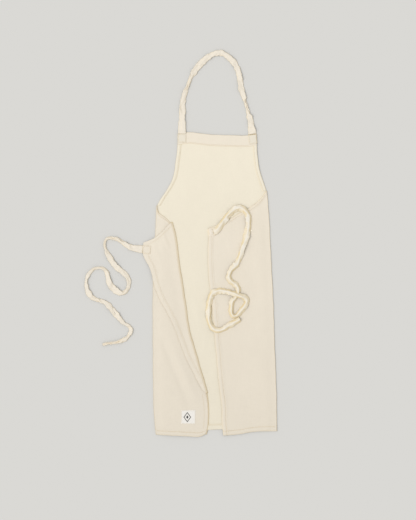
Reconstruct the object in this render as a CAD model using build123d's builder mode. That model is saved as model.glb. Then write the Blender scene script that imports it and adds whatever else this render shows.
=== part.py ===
from build123d import *
import os
from math import cos, pi, radians, sin, sqrt, tan

# An artist's smock apron, lying folded. It is one cut of cloth with turned hems, a bib band,
# a neck strap, two waist ties and a sewn label. The flat pattern is drawn once, where the
# front lies. The side panels are folded in over the front, and the upper corner of the left
# panel is turned back out, so that each folded piece is its part of the pattern, mirrored.
# The apron lies on Z = 0 with its bib toward +Y, centred on X and Y. All sizes are in mm.

os.makedirs("parts", exist_ok=True)

# Cloth and its layers
cloth = 0.8
hem_build = 1.2  # a turned hem or facing adds its two turned layers
layer_gap = 0.3

# Flat pattern
apron_width = 692
apron_length = 910
hem_skew = 18  # the hem lies this much higher at the right edge than at the left
bib_width = 236
bib_center_x = 22
bib_top_y = 454
armhole_drop = 278  # from the top of the bib to the tie corners
armhole_bend_drop = 193  # to the point where the armhole's two straight stretches would meet
armhole_bend_reach = 12  # and how far that point stands outside the bib's side
armhole_bend_radius = 135

# Hems
bib_band_height = 33
armhole_hem = 11
edge_hem = 15
bottom_hem = 16

# Fold lines, each through a point of the folded apron
left_fold_x = -169
right_fold_x = 183
right_fold_tilt = 2.46  # degrees, the fold's lower end leans out
corner_fold_x = -77
corner_fold_tilt = 10.8  # degrees, the fold's lower end leans inward
fold_end_clear = 3  # the rounded fold stops this far short of the cloth's edges

# Tapes
tape_width = 25
tape_thickness = 1.2
strap_end_length = 30
tie_root_length = 26
tie_turn_over = 18  # the right tie's end, turned over the panel's edge onto the outer face
tape_roll = 2 * sqrt(tape_width * tape_thickness / pi)  # a free tape curls to this thickness

# Label and thread
label_width = 43
label_height = 42
label_thickness = 0.4
label_center = (-65, -396)
thread = 0.6
stitch_inset = 3

# Heights of the layers
front_top = cloth
front_hem_top = front_top + hem_build
panel_hem_bottom = front_hem_top + layer_gap
panel_bottom = panel_hem_bottom + hem_build
panel_top = panel_bottom + cloth
corner_bottom = panel_top + layer_gap
corner_top = corner_bottom + cloth
corner_hem_top = corner_top + hem_build
side_fold_z = panel_top / 2
corner_fold_z = (panel_top + corner_bottom) / 2

# Heights of the tapes' centre lines
on_table = tape_roll / 2 + 0.1
on_corner = corner_hem_top + tape_thickness / 2
on_panel = panel_top + layer_gap + tape_roll / 2
over_tie = on_panel + tape_roll + 0.4

# Routes of the free tapes
neck_route = [
    (-84, 454.5, on_table),
    (-87, 500, on_table),
    (-82, 550, on_table),
    (-66, 600, on_table),
    (-38, 645, on_table),
    (-5, 678, on_table),
    (25, 698, on_table),
    (52, 684, on_table),
    (82, 658, on_table),
    (91, 618, on_table),
    (96, 580, on_table),
    (110, 538, on_table),
    (121, 495, on_table),
    (126, 454.5, on_table),
]
left_tie_route = [
    (-202, 107, on_corner),
    (-233, 113, on_corner),
    (-262, 127, on_table),
    (-292, 141, on_table),
    (-309, 140, on_table),
    (-314, 125, on_table),
    (-310, 105, on_table),
    (-297, 80, on_table),
    (-279, 54, on_table),
    (-258, 34, on_table),
    (-245, 19, on_table),
    (-243, -3, on_table),
    (-256, -22, on_table),
    (-272, -26, on_table),
    (-289, -14, on_table),
    (-303, 6, on_table),
    (-309, 32, on_table),
    (-318, 49, on_table),
    (-336, 51, on_table),
    (-356, 42, on_table),
    (-368, 25, on_table),
    (-371, 5, on_table),
    (-366, -16, on_table),
    (-355, -33, on_table),
    (-338, -44, on_table),
    (-314, -51, on_table),
    (-298, -66, on_table),
    (-281, -89, on_table),
    (-261, -111, on_table),
    (-246, -122, on_table),
    (-239, -134, on_table),
    (-245, -152, on_table),
    (-266, -167, on_table),
    (-294, -173, on_table),
    (-319, -177, on_table),
]
right_tie_route = [
    (-2, 149, on_panel),
    (19, 154, on_panel),
    (36, 171, on_panel),
    (48, 194, on_panel),
    (64, 216, on_panel),
    (86, 230, on_panel),
    (107, 222, on_panel),
    (116, 197, on_panel),
    (114, 158, on_panel),
    (104, 120, on_panel),
    (84, 74, on_panel),
    (65, 44, on_panel),
    (61, 18, on_panel),
    (75, -3, on_panel),
    (84, -21, on_panel),
    (78, -36, on_panel),
    (67, -47, on_panel),
    (64, -66, on_panel),
    (65, -80, on_panel),
    (69, -91, on_panel),
    (80, -92, on_panel),
    (91, -79, on_panel),
    (103, -63, on_panel),
    (110, -49, on_panel),
    (103, -38, on_panel + 1.5),
    (90, -33, over_tie),
    (66, -26, over_tie),
    (48, -21, on_panel + 1),
    (22, -19, on_panel),
    (2, -30, on_panel),
    (-4, -56, on_panel),
    (-5, -90, on_panel),
    (1, -116, on_panel),
    (17, -131, on_panel),
    (40, -132, on_panel),
    (63, -122, on_panel),
    (83, -109, on_panel),
]

# Fold planes: each plane's positive side is the side that is folded over
left_fold = Plane(origin=(left_fold_x, 0, 0), z_dir=(-1, 0, 0))
right_fold = Plane(
    origin=(right_fold_x, 0, 0),
    z_dir=(cos(radians(right_fold_tilt)), sin(radians(right_fold_tilt)), 0),
)
corner_fold = Plane(
    origin=(corner_fold_x, 0, 0),
    z_dir=(cos(radians(corner_fold_tilt)), sin(radians(corner_fold_tilt)), 0),
)

# Corners of the flat pattern
left_edge_x = bib_center_x - apron_width / 2
right_edge_x = bib_center_x + apron_width / 2
tie_corner_y = bib_top_y - armhole_drop
bottom_left = (left_edge_x, bib_top_y - apron_length)
bottom_right = (right_edge_x, bib_top_y - apron_length + hem_skew)


def armhole_points(side):
    """The armhole's three corners, from the bib down to the tie corner, for side -1 or 1."""
    bib_corner = (bib_center_x + side * bib_width / 2, bib_top_y)
    bend = (
        bib_center_x + side * (bib_width / 2 + armhole_bend_reach),
        bib_top_y - armhole_bend_drop,
    )
    tie_corner = (bib_center_x + side * apron_width / 2, tie_corner_y)
    return [bib_corner, bend, tie_corner]


with BuildSketch() as pattern:
    with BuildLine():
        FilletPolyline(*armhole_points(-1), radius=armhole_bend_radius)
        Polyline(armhole_points(-1)[2], bottom_left, bottom_right, armhole_points(1)[2])
        FilletPolyline(*armhole_points(1), radius=armhole_bend_radius)
        Line(armhole_points(-1)[0], armhole_points(1)[0])
    make_face()

with BuildSketch() as bib_band_shape:
    with Locations((bib_center_x, bib_top_y)):
        Rectangle(2 * bib_width, bib_band_height, align=(Align.CENTER, Align.MAX))
    add(pattern.sketch, mode=Mode.INTERSECT)

with BuildSketch() as bottom_hem_shape:
    with BuildLine():
        Polyline(
            bottom_left,
            bottom_right,
            (right_edge_x, bottom_right[1] + bottom_hem),
            (left_edge_x, bottom_left[1] + bottom_hem),
            close=True,
        )
    make_face()

edge_hem_shapes = {}
armhole_hem_shapes = {}
for side in (-1, 1):
    with BuildSketch() as edge_hem_shape:
        with Locations((bib_center_x + side * (apron_width - edge_hem) / 2, 0)):
            Rectangle(edge_hem, 2 * apron_length)
        add(pattern.sketch, mode=Mode.INTERSECT)
        add(bottom_hem_shape.sketch, mode=Mode.SUBTRACT)
    with BuildSketch() as armhole_hem_shape:
        with BuildLine():
            FilletPolyline(*armhole_points(side), radius=armhole_bend_radius)
        trace(line_width=2 * armhole_hem)
        add(pattern.sketch, mode=Mode.INTERSECT)
        add(bib_band_shape.sketch, mode=Mode.SUBTRACT)
        add(edge_hem_shape.sketch, mode=Mode.SUBTRACT)
    edge_hem_shapes[side] = edge_hem_shape.sketch
    armhole_hem_shapes[side] = armhole_hem_shape.sketch


def keep_front():
    """Keep what lies between the two side folds."""
    split(bisect_by=left_fold, keep=Keep.BOTTOM)
    split(bisect_by=right_fold, keep=Keep.BOTTOM)


def fold_in(fold):
    """Keep what lies beyond a fold, and turn it over onto the other side."""
    split(bisect_by=fold, keep=Keep.TOP)
    mirror(about=fold, mode=Mode.REPLACE)


def lay(shape, bottom, thickness):
    """A flat piece of cloth at a height."""
    with BuildSketch(Plane.XY.offset(bottom)) as flat:
        add(shape)
    extrude(flat.sketch, amount=thickness)


def tape_end_plane(route, height):
    """A level plane at a route's first point, with its X along the route's first run."""
    start = Vector(route[0][0], route[0][1], height)
    heading = Vector(route[1][0] - route[0][0], route[1][1] - route[0][1], 0)
    return Plane(origin=start, x_dir=heading, z_dir=(0, 0, 1))


def box_stitching(length, width):
    """A sewn box of thread, behind the tape's end."""
    with Locations((-length / 2, 0)):
        Rectangle(length - 2 * stitch_inset, width - 2 * stitch_inset)
        Rectangle(
            length - 2 * stitch_inset - 2 * thread,
            width - 2 * stitch_inset - 2 * thread,
            mode=Mode.SUBTRACT,
        )


def finish(piece, name):
    """Label a finished piece and write it out."""
    piece.part.label = name
    export_step(piece.part, f"parts/{name}.step")


# Front body: everything that stays on the table

with BuildPart() as front_panel:
    lay(pattern.sketch, 0, cloth)
    keep_front()
finish(front_panel, "front_panel")

with BuildPart() as bib_band:
    lay(bib_band_shape.sketch, front_top, hem_build)
finish(bib_band, "bib_band")

with BuildPart() as front_bottom_hem:
    lay(bottom_hem_shape.sketch, front_top, hem_build)
    keep_front()
finish(front_bottom_hem, "front_bottom_hem")

for side, name in ((-1, "left_bib_hem"), (1, "right_bib_hem")):
    with BuildPart() as bib_hem:
        lay(armhole_hem_shapes[side], front_top, hem_build)
        keep_front()
    finish(bib_hem, name)

for route, side in ((neck_route, "left"), (neck_route[::-1], "right")):
    with BuildPart() as strap_end:
        with BuildSketch(tape_end_plane(route, front_hem_top)):
            Rectangle(strap_end_length, tape_width, align=(Align.MAX, Align.CENTER))
        extrude(amount=tape_thickness)
    finish(strap_end, f"strap_end_{side}")
    with BuildPart() as strap_stitching:
        with BuildSketch(tape_end_plane(route, front_hem_top + tape_thickness)):
            box_stitching(strap_end_length, tape_width)
        extrude(amount=thread / 2)
    finish(strap_stitching, f"strap_stitching_{side}")

# The band's lower row of stitches runs between the two strap ends
row_left = neck_route[0][0] + tape_width / 2 + stitch_inset
row_right = neck_route[-1][0] - tape_width / 2 - stitch_inset
with BuildPart() as bib_band_stitching:
    with BuildSketch(Plane.XY.offset(front_hem_top)):
        with Locations(((row_left + row_right) / 2, bib_top_y - bib_band_height + stitch_inset)):
            Rectangle(row_right - row_left, thread)
    extrude(amount=thread / 2)
finish(bib_band_stitching, "bib_band_stitching")


def rounded_fold(fold, top_y, bottom_y, axis_z, inner_radius):
    """Cloth bent half round about a fold line, on the outer side of the fold."""
    line = Vector(-fold.z_dir.Y / fold.z_dir.X, 1, 0)  # one step up the fold line, per mm of Y
    low_end = fold.origin + line * bottom_y + Vector(0, 0, axis_z)
    with BuildSketch(Plane(origin=low_end, z_dir=line)) as ring:
        Circle(inner_radius + cloth)
        Circle(inner_radius, mode=Mode.SUBTRACT)
    extrude(ring.sketch, amount=(top_y - bottom_y) * line.length)
    split(bisect_by=fold, keep=Keep.TOP)


def fold_span(panel, fold):
    """Where a folded panel's edge on its fold line starts and ends, along Y."""
    fold_face = panel.faces().sort_by(lambda face: abs(fold.to_local_coords(face.center()).Z))[0]
    box = fold_face.bounding_box()
    return box.max.Y - fold_end_clear, box.min.Y + fold_end_clear


# Right panel, folded in with its outer face up

with BuildPart() as right_panel:
    lay(pattern.sketch, panel_bottom, cloth)
    fold_in(right_fold)
finish(right_panel, "right_panel")

with BuildPart() as right_armhole_hem:
    lay(armhole_hem_shapes[1], panel_hem_bottom, hem_build)
    fold_in(right_fold)
finish(right_armhole_hem, "right_armhole_hem")

with BuildPart() as right_edge_hem:
    lay(edge_hem_shapes[1], panel_hem_bottom, hem_build)
    fold_in(right_fold)
finish(right_edge_hem, "right_edge_hem")

with BuildPart() as right_bottom_hem:
    lay(bottom_hem_shape.sketch, panel_hem_bottom, hem_build)
    fold_in(right_fold)
finish(right_bottom_hem, "right_bottom_hem")

# Left panel, folded in with its outer face up, as far as the corner's fold

with BuildPart() as left_panel:
    lay(pattern.sketch, panel_bottom, cloth)
    fold_in(left_fold)
    split(bisect_by=corner_fold, keep=Keep.BOTTOM)
finish(left_panel, "left_panel")

with BuildPart() as left_armhole_hem:
    lay(armhole_hem_shapes[-1], panel_hem_bottom, hem_build)
    fold_in(left_fold)
    split(bisect_by=corner_fold, keep=Keep.BOTTOM)
finish(left_armhole_hem, "left_armhole_hem")

with BuildPart() as left_edge_hem:
    lay(edge_hem_shapes[-1], panel_hem_bottom, hem_build)
    fold_in(left_fold)
    split(bisect_by=corner_fold, keep=Keep.BOTTOM)
finish(left_edge_hem, "left_edge_hem")

with BuildPart() as left_bottom_hem:
    lay(bottom_hem_shape.sketch, panel_hem_bottom, hem_build)
    fold_in(left_fold)
finish(left_bottom_hem, "left_bottom_hem")

with BuildPart() as label:
    with BuildSketch(Plane.XY.offset(panel_top)):
        with Locations(label_center):
            Rectangle(label_width, label_height)
    extrude(amount=label_thickness)
finish(label, "label")

with BuildPart() as label_stitching:
    with BuildSketch(Plane.XY.offset(panel_top + label_thickness)):
        with Locations(label_center):
            Rectangle(label_width - stitch_inset, label_height - stitch_inset)
            Rectangle(
                label_width - stitch_inset - 2 * thread,
                label_height - stitch_inset - 2 * thread,
                mode=Mode.SUBTRACT,
            )
    extrude(amount=thread / 2)
finish(label_stitching, "label_stitching")

# Upper corner of the left panel, turned back out with its inner face up

with BuildPart() as corner_panel:
    lay(pattern.sketch, corner_bottom, cloth)
    fold_in(left_fold)
    fold_in(corner_fold)
finish(corner_panel, "corner_panel")

with BuildPart() as corner_armhole_hem:
    lay(armhole_hem_shapes[-1], corner_top, hem_build)
    fold_in(left_fold)
    fold_in(corner_fold)
finish(corner_armhole_hem, "corner_armhole_hem")

with BuildPart() as corner_edge_hem:
    lay(edge_hem_shapes[-1], corner_top, hem_build)
    fold_in(left_fold)
    fold_in(corner_fold)
finish(corner_edge_hem, "corner_edge_hem")

# Rounded cloth at the three folds

side_fold_inner = side_fold_z - cloth
corner_fold_inner = corner_fold_z - panel_top

left_span = fold_span(left_panel, left_fold)
with BuildPart() as left_fold_round:
    rounded_fold(left_fold, *left_span, side_fold_z, side_fold_inner)
finish(left_fold_round, "left_fold_round")

right_span = fold_span(right_panel, right_fold)
with BuildPart() as right_fold_round:
    rounded_fold(right_fold, *right_span, side_fold_z, side_fold_inner)
finish(right_fold_round, "right_fold_round")

corner_span = fold_span(corner_panel, corner_fold)
with BuildPart() as corner_fold_round:
    rounded_fold(corner_fold, *corner_span, corner_fold_z, corner_fold_inner)
finish(corner_fold_round, "corner_fold_round")


# The left tie's sewn end lies on the turned corner's hem

with BuildPart() as left_tie_root:
    with BuildSketch(tape_end_plane(left_tie_route, corner_hem_top)):
        Rectangle(tie_root_length, tape_width, align=(Align.MAX, Align.CENTER))
    extrude(amount=tape_thickness)
finish(left_tie_root, "left_tie_root")

with BuildPart() as left_tie_stitching:
    with BuildSketch(tape_end_plane(left_tie_route, corner_hem_top + tape_thickness)):
        box_stitching(tie_root_length, tape_width)
    extrude(amount=thread / 2)
finish(left_tie_stitching, "left_tie_stitching")

# The right tie is sewn under the panel's hem, and turns over its edge onto the outer face

root_bottom = panel_hem_bottom - tape_thickness
root_plane = tape_end_plane(right_tie_route, 0)
root_profile_plane = Plane(
    origin=root_plane.origin, x_dir=root_plane.x_dir, z_dir=root_plane.y_dir * -1
)
with BuildPart() as right_tie_root:
    with BuildSketch(root_profile_plane):
        with BuildLine():
            Polyline(
                (0, panel_top),
                (0, panel_top + tape_thickness),
                (-tie_turn_over, panel_top + tape_thickness),
                (-tie_turn_over, root_bottom),
                (tie_root_length - tie_turn_over, root_bottom),
                (tie_root_length - tie_turn_over, panel_hem_bottom),
                (tape_thickness - tie_turn_over, panel_hem_bottom),
                (tape_thickness - tie_turn_over, panel_top),
                close=True,
            )
        make_face()
    extrude(amount=tape_width / 2, both=True)
finish(right_tie_root, "right_tie_root")

with BuildPart() as right_tie_stitching:
    with BuildSketch(tape_end_plane(right_tie_route, panel_top + tape_thickness)):
        box_stitching(tie_turn_over - tape_thickness, tape_width)
    extrude(amount=thread / 2)
finish(right_tie_stitching, "right_tie_stitching")


def bend_radii(points):
    """Each bend's radius, 0.45 of its shorter run over the tangent of half its turn."""
    radii = []
    for before, here, after in zip(points, points[1:], points[2:]):
        run_in = Vector(*here) - Vector(*before)
        run_out = Vector(*after) - Vector(*here)
        half_turn = radians(run_in.get_angle(run_out)) / 2
        radii.append(0.45 * min(run_in.length, run_out.length) / tan(half_turn))
    return radii


# Free tapes: each is curled round, so its section has the flat tape's area

for route, name in (
    (neck_route, "neck_strap"),
    (left_tie_route, "left_tie"),
    (right_tie_route, "right_tie"),
):
    radii = bend_radii(route)
    with BuildPart() as free_tape:
        with BuildLine() as path:
            FilletPolyline(*route, radius=radii)
        with BuildSketch(path.line ^ 0):
            Circle(tape_roll / 2)
        sweep()
    finish(free_tape, name)
    length = sum(edge.length for edge in path.edges())
    share = free_tape.part.volume / (pi * tape_roll**2 / 4 * length)
    print(name, "length", round(length, 1), "volume over section x length", round(share, 4))
    print("  radii", [round(radius, 1) for radius in radii])
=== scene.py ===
from math import atan, cos, pi, radians, sin

import bpy
import numpy as np
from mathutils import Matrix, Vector, noise
from mathutils.bvhtree import BVHTree


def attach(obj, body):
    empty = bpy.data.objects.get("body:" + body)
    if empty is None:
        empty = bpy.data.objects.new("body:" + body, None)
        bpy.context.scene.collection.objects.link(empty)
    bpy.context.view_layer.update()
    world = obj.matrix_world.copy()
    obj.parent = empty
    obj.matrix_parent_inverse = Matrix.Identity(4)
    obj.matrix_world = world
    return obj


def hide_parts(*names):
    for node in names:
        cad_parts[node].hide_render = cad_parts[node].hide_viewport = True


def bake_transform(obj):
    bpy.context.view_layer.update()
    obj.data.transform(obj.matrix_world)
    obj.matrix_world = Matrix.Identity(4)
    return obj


# An artist's smock apron on a pale floor: a front with a bib, side panels folded in over it, one with a
# corner turned back, a neck strap and two ties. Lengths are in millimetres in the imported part's frame,
# and become metres where a mesh or the camera is made.

MM = 0.001

# Blender seeds noise_vector from the clock, so this makes the outlines the same at every run
noise.seed_set(7)

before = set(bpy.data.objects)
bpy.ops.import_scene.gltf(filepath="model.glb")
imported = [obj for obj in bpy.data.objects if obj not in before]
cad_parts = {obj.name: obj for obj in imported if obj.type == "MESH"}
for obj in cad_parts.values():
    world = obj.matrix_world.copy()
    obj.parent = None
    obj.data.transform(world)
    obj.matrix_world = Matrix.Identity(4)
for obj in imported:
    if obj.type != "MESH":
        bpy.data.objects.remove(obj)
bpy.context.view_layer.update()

# Cloth and tape, as in the part
CLOTH = 0.8
HEM_BUILD = 1.2
TAPE_WIDTH = 25.0
TAPE_THICKNESS = 1.2
BIB_BAND = 33.0
ARMHOLE_HEM = 11.0
EDGE_HEM = 15.0
BOTTOM_HEM = 16.0

# The front, from its bib to its hem
FRONT_LENGTH = 905.0

# How far a hem's stitches lie inside its inner edge
STITCH_INSET = 3.0

# How wide the rounding of a plain edge is, and of a hemmed panel's
EDGE_ROUNDING = 1.3
HEM_ROUNDING = 3.6

# Places along a joined line and across a tape, and the spacing of a tape's rings
JOINED_PLACES = 1200
TAPE_PLACES = 25
RING_SPACING = 1.8

# The lowest that a free tape lies
FLOOR_GAP = 0.05

# Heights of the cloth's middle at the rounded folds
FRONT_MID = 0.5
SIDE_FOLD_TOP = 3.0
CORNER_FOLD_BOTTOM = 1.8
CORNER_FOLD_TOP = 4.8

# How far the panels' hemmed edges bend down, and over what width
EDGE_DROP = 1.3
EDGE_DROP_WIDTH = 5.0

# Outline corners, shared by the lines that meet there
BIB_LEFT = (-97, 453)
BIB_RIGHT = (139, 452)
LEFT_WAIST = (-159, 238)
RIGHT_WAIST = (169, 283)
FRONT_LEFT_HEM = (-160, -449)
FRONT_RIGHT_HEM = (199, -438)
RIGHT_TIE_CORNER = (-4, 170)
RIGHT_EDGE_HEM = (40, -451)
CORNER_TOP = (-118, 187)
LEFT_EDGE_HEM = (-13, -447)
LEFT_TIE_CORNER = (-199, 127)
CORNER_TIP = (-12, -325)

# Outline lines, from the bib down or from left to right
BIB_TOP_LINE = [BIB_LEFT, (-70, 458), (-30, 455), (12, 451), (70, 449), (117, 449), BIB_RIGHT]
LEFT_ARMHOLE_LINE = [
    BIB_LEFT, (-97, 429), (-99, 399), (-103, 365), (-112, 320), (-130, 284), (-148, 258), LEFT_WAIST,
]
RIGHT_ARMHOLE_LINE = [BIB_RIGHT, (141, 410), (147, 352), (157, 318), RIGHT_WAIST]
LEFT_FOLD_LINE = [
    LEFT_WAIST, (-162, 171), (-165, 105), (-169, 15), (-170, -135), (-169, -285), (-167, -375),
    (-164, -417), FRONT_LEFT_HEM,
]
RIGHT_FOLD_LINE = [
    RIGHT_WAIST, (176, 192), (182, 69), (188, -51), (191, -144), (197, -303), FRONT_RIGHT_HEM,
]
FRONT_HEM_LINE = [FRONT_LEFT_HEM, (-80, -443), (0, -434), (60, -434), (130, -438), FRONT_RIGHT_HEM]
RIGHT_PANEL_TOP_LINE = [RIGHT_TIE_CORNER, (45, 190), (84, 213), (121, 233), (143, 249), RIGHT_WAIST]
RIGHT_EDGE_LINE = [
    RIGHT_TIE_CORNER, (-6, 102), (-5, 39), (-1, -6), (13, -145), (20, -231), (29, -318), (35, -370),
    (36, -417), RIGHT_EDGE_HEM,
]
RIGHT_HEM_LINE = [RIGHT_EDGE_HEM, (91, -447), (131, -440), (165, -438), FRONT_RIGHT_HEM]
LEFT_PANEL_TOP_LINE = [LEFT_WAIST, (-153, 217), (-136, 205), CORNER_TOP]
CORNER_FOLD_LINE = [
    CORNER_TOP, (-105, 131), (-100, 87), (-94, 43), (-87, -1), (-81, -40), (-76, -74), (-67, -135),
    (-52, -189), (-36, -244), (-21, -294), CORNER_TIP,
]
LEFT_EDGE_LINE = [CORNER_TIP, (-8, -356), (-7, -400), (-9, -428), LEFT_EDGE_HEM]
LEFT_HEM_LINE = [FRONT_LEFT_HEM, (-90, -453), (-49, -455), (-27, -454), LEFT_EDGE_HEM]
CORNER_TOP_LINE = [LEFT_TIE_CORNER, (-183, 133), (-165, 142), (-141, 163), CORNER_TOP]
CORNER_EDGE_LINE = [
    LEFT_TIE_CORNER, (-201, 93), (-181, 51), (-171, 15), (-159, -24), (-120, -99), (-87, -180),
    (-69, -225), (-42, -279), (-19, -318), CORNER_TIP,
]

# Routes of the free tapes, as (x, y, height, width, twist). The part's tubes run along the same
# way; here each place also says how wide the curled tape lies and how far it is twisted, in
# degrees: 0 with its edges turned down, 90 on its edge. A height above 0 is what the tape is lifted
# by to pass over its own strand.
NECK_ROUTE = [
    (-84, 454, 0, 25, 0), (-84, 482, 0, 22, 10), (-83, 515, 0, 19, 20), (-82, 548, 0, 18, -20),
    (-75, 576, 0, 14, -60), (-69, 594, 0, 9, -90), (-58, 622, 0, 13, -60), (-46, 641, 0, 17, -15),
    (-27, 665, 0, 18, 0), (-8, 683, 0, 17, 10), (15, 695, 0, 17, 0), (34, 697, 0, 17, -30),
    (57, 684, 0, 17, -5), (74, 665, 0, 16, 20), (83, 646, 0, 17, 0), (90, 622, 0, 17, -10),
    (92, 599, 0, 17, 10), (97, 576, 0, 15, 0), (105, 552, 0, 12, -60), (111, 529, 0, 8, -80),
    (120, 501, 0, 17, -20), (125, 472, 0, 20, 0), (127, 453, 0, 25, 0),
]
LEFT_TIE_ROUTE = [
    (-202, 107, 0, 24, 0), (-225, 109, 0, 18, 0), (-246, 116, 0, 15, 20), (-258, 125, 0, 14, 50),
    (-274, 136, 0, 11, 70), (-292, 142, 0, 9, 90), (-312, 140, 0, 9, 80), (-317, 125, 0, 8, 70),
    (-314, 108, 0, 9, 40), (-304, 88, 0, 15, 10), (-290, 65, 0, 17, -5), (-276, 49, 0, 17, 0),
    (-258, 36, 0, 15, 20), (-244, 22, 0, 12, 30), (-242, 3, 0, 11, 60), (-250, -19, 0, 11, 90),
    (-267, -26, 0, 14, 50), (-284, -17, 0, 21, 0), (-299, -1, 0, 19, -10), (-306, 19, 0, 14, 10),
    (-309, 38, 0, 12, 60), (-317, 50, 0, 9, 90), (-332, 53, 0, 9, 80), (-351, 48, 0, 10, 30),
    (-365, 33, 0, 11, -10), (-372, 12, 0, 9, -20), (-371, -7, 0, 12, -5), (-364, -25, 0, 16, 20),
    (-351, -41, 0, 14, 70), (-331, -47, 0, 11, 90), (-313, -52, 0, 13, 50), (-299, -66, 0, 17, 10),
    (-285, -85, 0, 18, 0), (-269, -103, 0, 15, 0), (-258, -117, 0, 10, 40),
    (-242, -123, 0, 11, 80), (-236, -137, 0, 12, 80), (-243, -152, 0, 13, 70),
    (-258, -164, 0, 14, 80), (-274, -171, 0, 10, 90), (-297, -174, 0, 8, 80), (-322, -178, 0, 8, 80),
]
RIGHT_TIE_ROUTE = [
    (10, 160, 0, 24, 0), (18, 162, 0, 22, 0), (26, 169, 0, 20, 4), (36, 183, 0, 18, 8),
    (46, 197, 0, 19, 10), (56, 211, 0, 18, 0), (70, 224, 0, 19, -8), (84, 232, 0, 19, -10),
    (98, 229, 0, 18, 0), (110, 218, 0, 19, 8), (116, 200, 0, 20, 12), (115, 178, 0, 19, 4),
    (110, 152, 0, 20, -6), (105, 130, 0, 18, -12), (98, 108, 0, 14, -50), (92, 91, 0, 18, -20),
    (85, 74, 0, 19, 0), (75, 57, 0, 20, 8), (64, 47, 0, 19, 14), (57, 35, 0, 17, 20),
    (55, 20, 0, 18, 8), (63, 9, 0, 17, -8), (76, 2, 0, 18, -12), (85, -10, 0, 17, -6),
    (84, -24, 0, 16, 0), (76, -36, 0, 16, 6), (66, -48, 0, 17, 12), (63, -66, 0, 16, 10),
    (63, -82, 0, 16, 0), (68, -94, 0, 15, -8), (80, -94, 0, 16, -10), (92, -80, 0, 17, 0),
    (104, -64, 0, 17, 8), (113, -48, 0, 17, 10), (104, -36, 1.5, 16, 4), (90, -32, 5, 15, 0),
    (72, -26, 5, 16, -6), (50, -19, 1, 18, -12), (25, -17, 0, 19, -14), (8, -24, 0, 18, -6),
    (0, -41, 0, 17, 4), (-4, -66, 0, 19, 10), (-5, -94, 0, 19, 14), (0, -119, 0, 18, 6),
    (14, -136, 0, 19, -4), (36, -135, 0, 17, -10), (53, -123, 0, 18, -14), (75, -111, 0, 18, -6),
    (90, -102, 0, 17, 0),
]

# The tapes' sewn ends, as (where they stop, the way the free tape leaves, their length)
LEFT_STRAP_END = ((-84, 454), (0, 1), 27)
RIGHT_STRAP_END = ((127, 453), (-0.1, 1), 30)
LEFT_TIE_END = ((-202, 107), (-1, 0.09), 24)
RIGHT_TIE_END = ((14, 160), (1, 0.2), 21)


# ---------------------------------------------------------------- lines and patches


def smooth(points, count=400):
    """Evenly spaced places on a smooth line through given points."""
    points = np.array(points, float)
    at = np.concatenate([[0], np.cumsum(np.linalg.norm(np.diff(points, axis=0), axis=1))])
    gap = np.diff(at)
    size = len(points)
    matrix = np.eye(size)
    slope = np.zeros_like(points)
    for i in range(1, size - 1):
        matrix[i, i - 1 : i + 2] = gap[i - 1], 2 * (gap[i - 1] + gap[i]), gap[i]
        step_in = (points[i] - points[i - 1]) / gap[i - 1]
        step_out = (points[i + 1] - points[i]) / gap[i]
        slope[i] = 6 * (step_out - step_in)
    bend = np.linalg.solve(matrix, slope)
    fine = np.linspace(0, at[-1], 8 * count)
    i = np.clip(np.searchsorted(at, fine, side="right") - 1, 0, size - 2)
    before = ((at[i + 1] - fine) / gap[i])[:, None]
    after = ((fine - at[i]) / gap[i])[:, None]
    cubic = (before**3 - before) * bend[i] + (after**3 - after) * bend[i + 1]
    line = before * points[i] + after * points[i + 1] + cubic * gap[i][:, None] ** 2 / 6
    line = evenly(line, count)
    wobble = [noise.noise_vector(Vector((x / 26, y / 26, 4)))[:2] for x, y in line[:, :2]]
    return line + np.array(wobble) * 0.9


def evenly(line, count):
    """The same line with evenly spaced places."""
    run = np.concatenate([[0], np.cumsum(np.linalg.norm(np.diff(line, axis=0), axis=1))])
    wanted = np.linspace(0, run[-1], count)
    return np.stack([np.interp(wanted, run, line[:, k]) for k in range(line.shape[1])], axis=1)


def join(*lines):
    """Lines end to end, as one evenly spaced line."""
    return evenly(np.concatenate(lines), JOINED_PLACES)


def along(line, share):
    """Places at shares of a line's length, from 0 to 1."""
    at = np.linspace(0, 1, len(line))
    return np.stack([np.interp(share, at, line[:, k]) for k in range(line.shape[1])], axis=-1)


def right_of(line, x, y):
    """How far a place lies to the right of a line that runs down the apron."""
    return x - np.interp(-y, -line[:, 1], line[:, 0])


def step(distance, start, end):
    """A smooth step from 0 at start to 1 at end."""
    t = np.clip((distance - start) / (end - start), 0, 1)
    return t * t * (3 - 2 * t)


def ripple(x, y, size, seed):
    """Gentle uneven waves of about that size, between -1 and 1."""
    flat = zip(np.ravel(x), np.ravel(y))
    values = [noise.noise(Vector((a / size, b / size, seed))) for a, b in flat]
    return np.array(values).reshape(np.shape(x))


def streak(x, y, start, end, width):
    """A soft ridge along a straight stretch, 1 at its middle and 0 away from it."""
    start = np.array(start, float)
    run = np.array(end, float) - start
    share = np.clip(((x - start[0]) * run[0] + (y - start[1]) * run[1]) / (run @ run), 0, 1)
    off = np.hypot(x - start[0] - share * run[0], y - start[1] - share * run[1])
    return np.exp(-((off / width) ** 2)) * np.sin(pi * np.clip(share, 0.02, 0.98)) ** 0.5


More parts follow.
